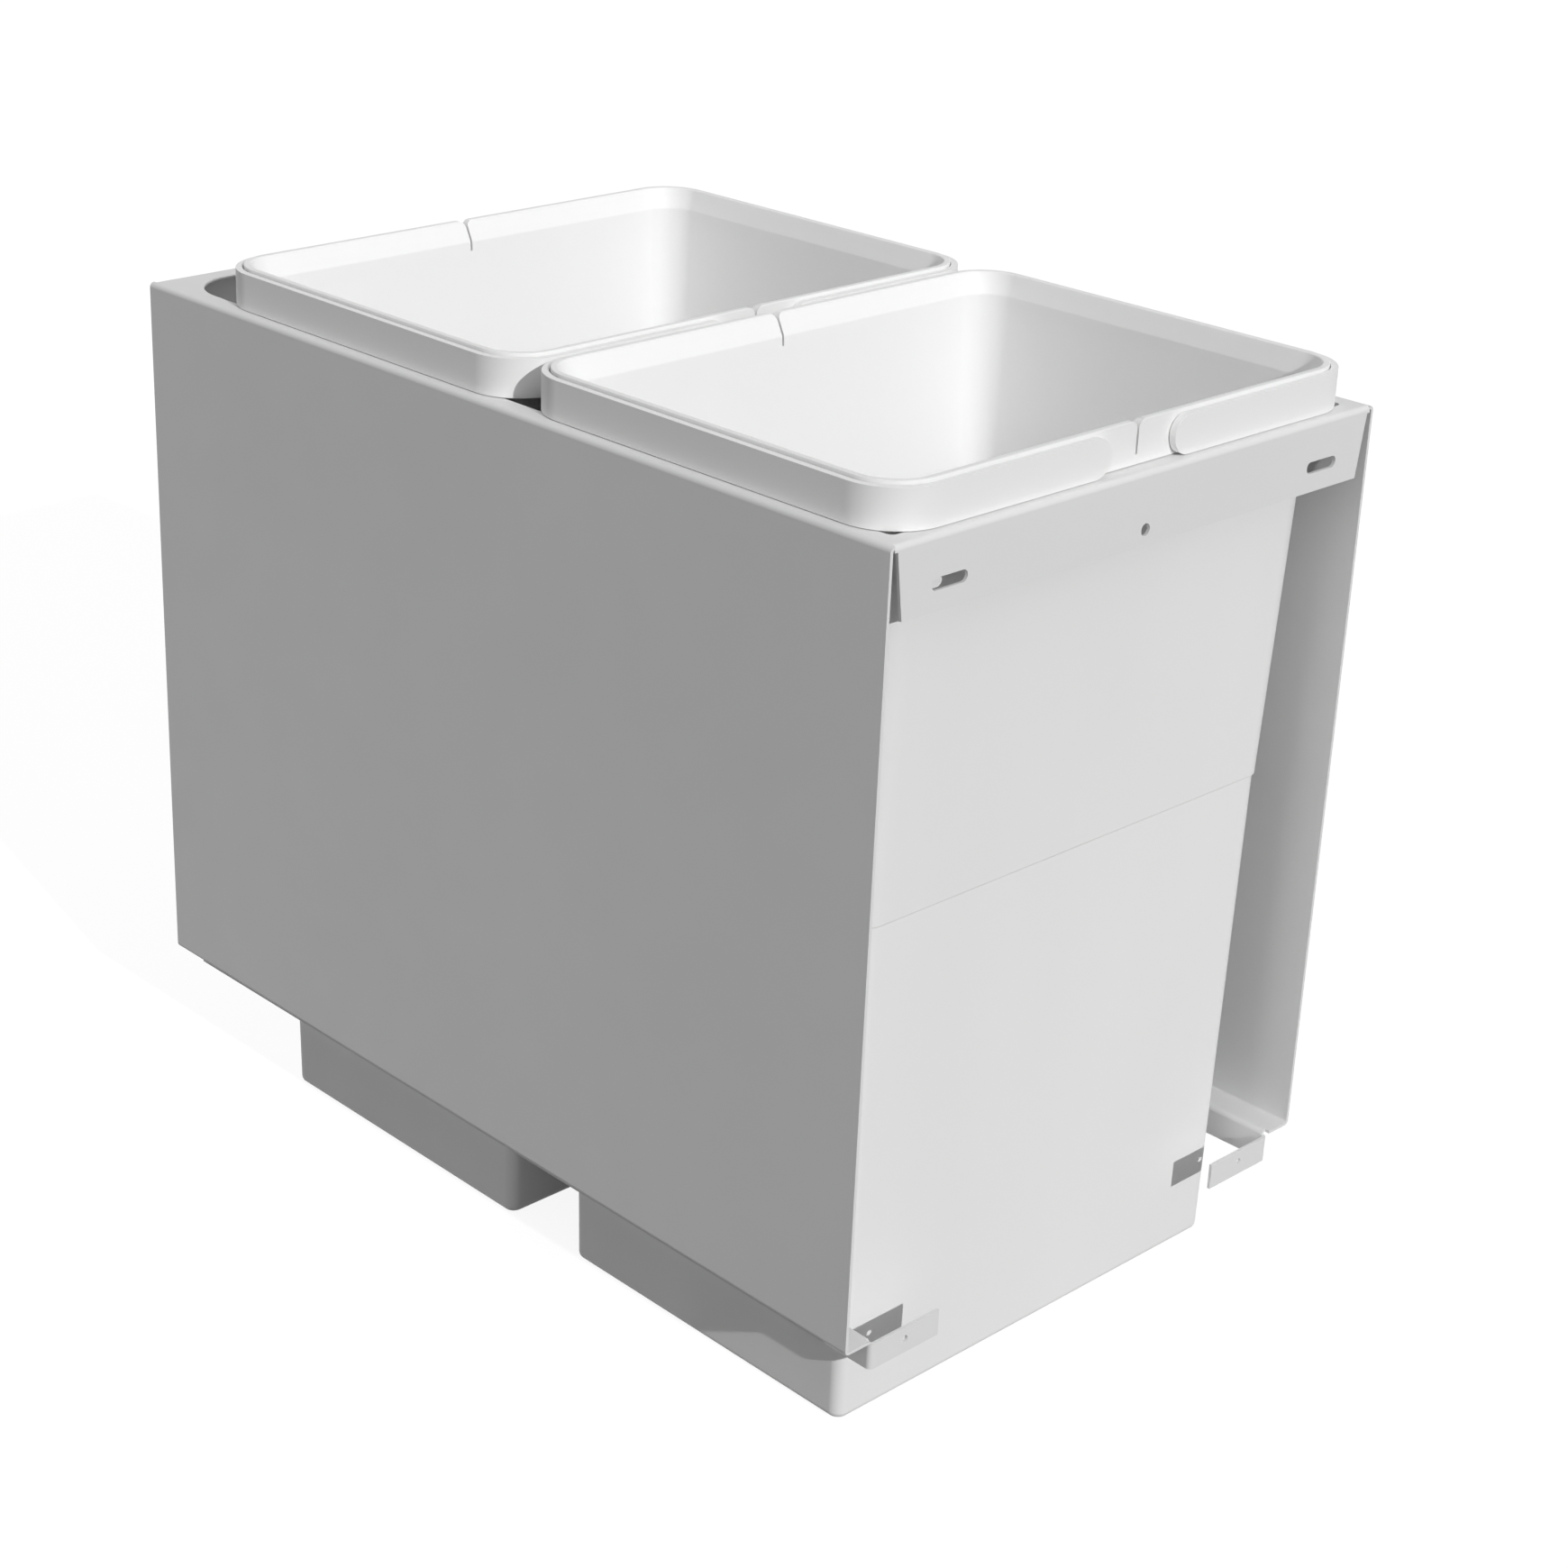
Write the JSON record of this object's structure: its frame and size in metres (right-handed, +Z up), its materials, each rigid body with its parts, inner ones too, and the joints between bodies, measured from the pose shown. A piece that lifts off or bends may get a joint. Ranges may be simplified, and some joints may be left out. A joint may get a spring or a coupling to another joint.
{
  "type": "pull-out waste bin unit",
  "caption": "Folded sheet-steel carrier on concealed full-extension ball runners, holding lift-out waste bins with swing-up bails in one deck opening",
  "frame": {"origin": "centre of the footprint of the closed unit, level with the undersides of the bins", "axes": "+X to the right seen from the front, +Y towards the back of the cabinet, +Z up; the carrier opens along -Y"},
  "size_m": [0.306, 0.5, 0.4415],
  "materials": {
    "powder_coat": "white powder coat, satin",
    "bin_plastic": "white moulded polypropylene, satin",
    "bail_plastic": "white moulded polypropylene, satin",
    "rail_aluminium": "mill finish extrusion",
    "zinc_steel": "zinc plated",
    "ball_steel": "polished",
    "stop_rubber": "matt"
  },
  "bodies": {
    "cabinet_rails": {"left_support_rail": "rail_aluminium", "right_support_rail": "rail_aluminium", "left_rail_rivets": "zinc_steel", "right_rail_rivets": "zinc_steel", "left_stop_buffer": "stop_rubber", "right_stop_buffer": "stop_rubber", "left_fixed_member": "zinc_steel", "right_fixed_member": "zinc_steel"},
    "left_outer_cage_set": {"left_outer_cage": "zinc_steel", "left_outer_balls": "ball_steel"},
    "right_outer_cage_set": {"right_outer_cage": "zinc_steel", "right_outer_balls": "ball_steel"},
    "left_middle": {"left_middle_member": "zinc_steel"},
    "right_middle": {"right_middle_member": "zinc_steel"},
    "left_inner_cage_set": {"left_inner_cage": "zinc_steel", "left_inner_balls": "ball_steel"},
    "right_inner_cage_set": {"right_inner_cage": "zinc_steel", "right_inner_balls": "ball_steel"},
    "carrier": {"carrier_frame": "powder_coat", "left_carrier_member": "zinc_steel", "right_carrier_member": "zinc_steel", "left_panel_bosses": "zinc_steel", "right_panel_bosses": "zinc_steel", "left_member_screws": "zinc_steel", "right_member_screws": "zinc_steel"},
    "front_bin_body": {"front_bin": "bin_plastic"},
    "rear_bin_body": {"rear_bin": "bin_plastic"},
    "front_left_bail": {"front_bin_left_bail": "bail_plastic"},
    "front_right_bail": {"front_bin_right_bail": "bail_plastic"},
    "rear_left_bail": {"rear_bin_left_bail": "bail_plastic"},
    "rear_right_bail": {"rear_bin_right_bail": "bail_plastic"}
  },
  "joints": [
    {"name": "carrier_slide", "type": "slide", "parent": "cabinet_rails", "child": "carrier", "axis": [0, -1, 0], "range_m": [0, 0.4]},
    {"name": "left_middle_slide", "type": "slide", "parent": "cabinet_rails", "child": "left_middle", "axis": [0, -1, 0], "range_m": [0, 0.2001]},
    {"name": "right_middle_slide", "type": "slide", "parent": "cabinet_rails", "child": "right_middle", "axis": [0, -1, 0], "range_m": [0, 0.2001]},
    {"name": "left_outer_cage_slide", "type": "slide", "parent": "cabinet_rails", "child": "left_outer_cage_set", "axis": [0, -1, 0], "range_m": [0, 0.1001]},
    {"name": "right_outer_cage_slide", "type": "slide", "parent": "cabinet_rails", "child": "right_outer_cage_set", "axis": [0, -1, 0], "range_m": [0, 0.1001]},
    {"name": "left_inner_cage_slide", "type": "slide", "parent": "cabinet_rails", "child": "left_inner_cage_set", "axis": [0, -1, 0], "range_m": [0, 0.3001]},
    {"name": "right_inner_cage_slide", "type": "slide", "parent": "cabinet_rails", "child": "right_inner_cage_set", "axis": [0, -1, 0], "range_m": [0, 0.3001]},
    {"name": "front_bin_lift", "type": "slide", "parent": "carrier", "child": "front_bin_body", "axis": [0, 0, 1], "range_m": [0, 0.45]},
    {"name": "rear_bin_lift", "type": "slide", "parent": "carrier", "child": "rear_bin_body", "axis": [0, 0, 1], "range_m": [0, 0.45]},
    {"name": "front_left_bail_hinge", "type": "hinge", "parent": "front_bin_body", "child": "front_left_bail", "pos_m": [-0.029, -0.1343, 0.4312], "axis": [0, 1, 0], "range_deg": [0, 98]},
    {"name": "front_right_bail_hinge", "type": "hinge", "parent": "front_bin_body", "child": "front_right_bail", "pos_m": [0.029, -0.1343, 0.4312], "axis": [0, -1, 0], "range_deg": [0, 98]},
    {"name": "rear_left_bail_hinge", "type": "hinge", "parent": "rear_bin_body", "child": "rear_left_bail", "pos_m": [-0.029, 0.0907, 0.4312], "axis": [0, 1, 0], "range_deg": [0, 98]},
    {"name": "rear_right_bail_hinge", "type": "hinge", "parent": "rear_bin_body", "child": "rear_right_bail", "pos_m": [0.029, 0.0907, 0.4312], "axis": [0, -1, 0], "range_deg": [0, 98]}
  ],
  "couplings": [
    {"joint": "left_middle_slide", "follows": "carrier_slide", "ratio": 0.5},
    {"joint": "right_middle_slide", "follows": "carrier_slide", "ratio": 0.5},
    {"joint": "left_outer_cage_slide", "follows": "carrier_slide", "ratio": 0.25},
    {"joint": "right_outer_cage_slide", "follows": "carrier_slide", "ratio": 0.25},
    {"joint": "left_inner_cage_slide", "follows": "carrier_slide", "ratio": 0.75},
    {"joint": "right_inner_cage_slide", "follows": "carrier_slide", "ratio": 0.75}
  ]
}
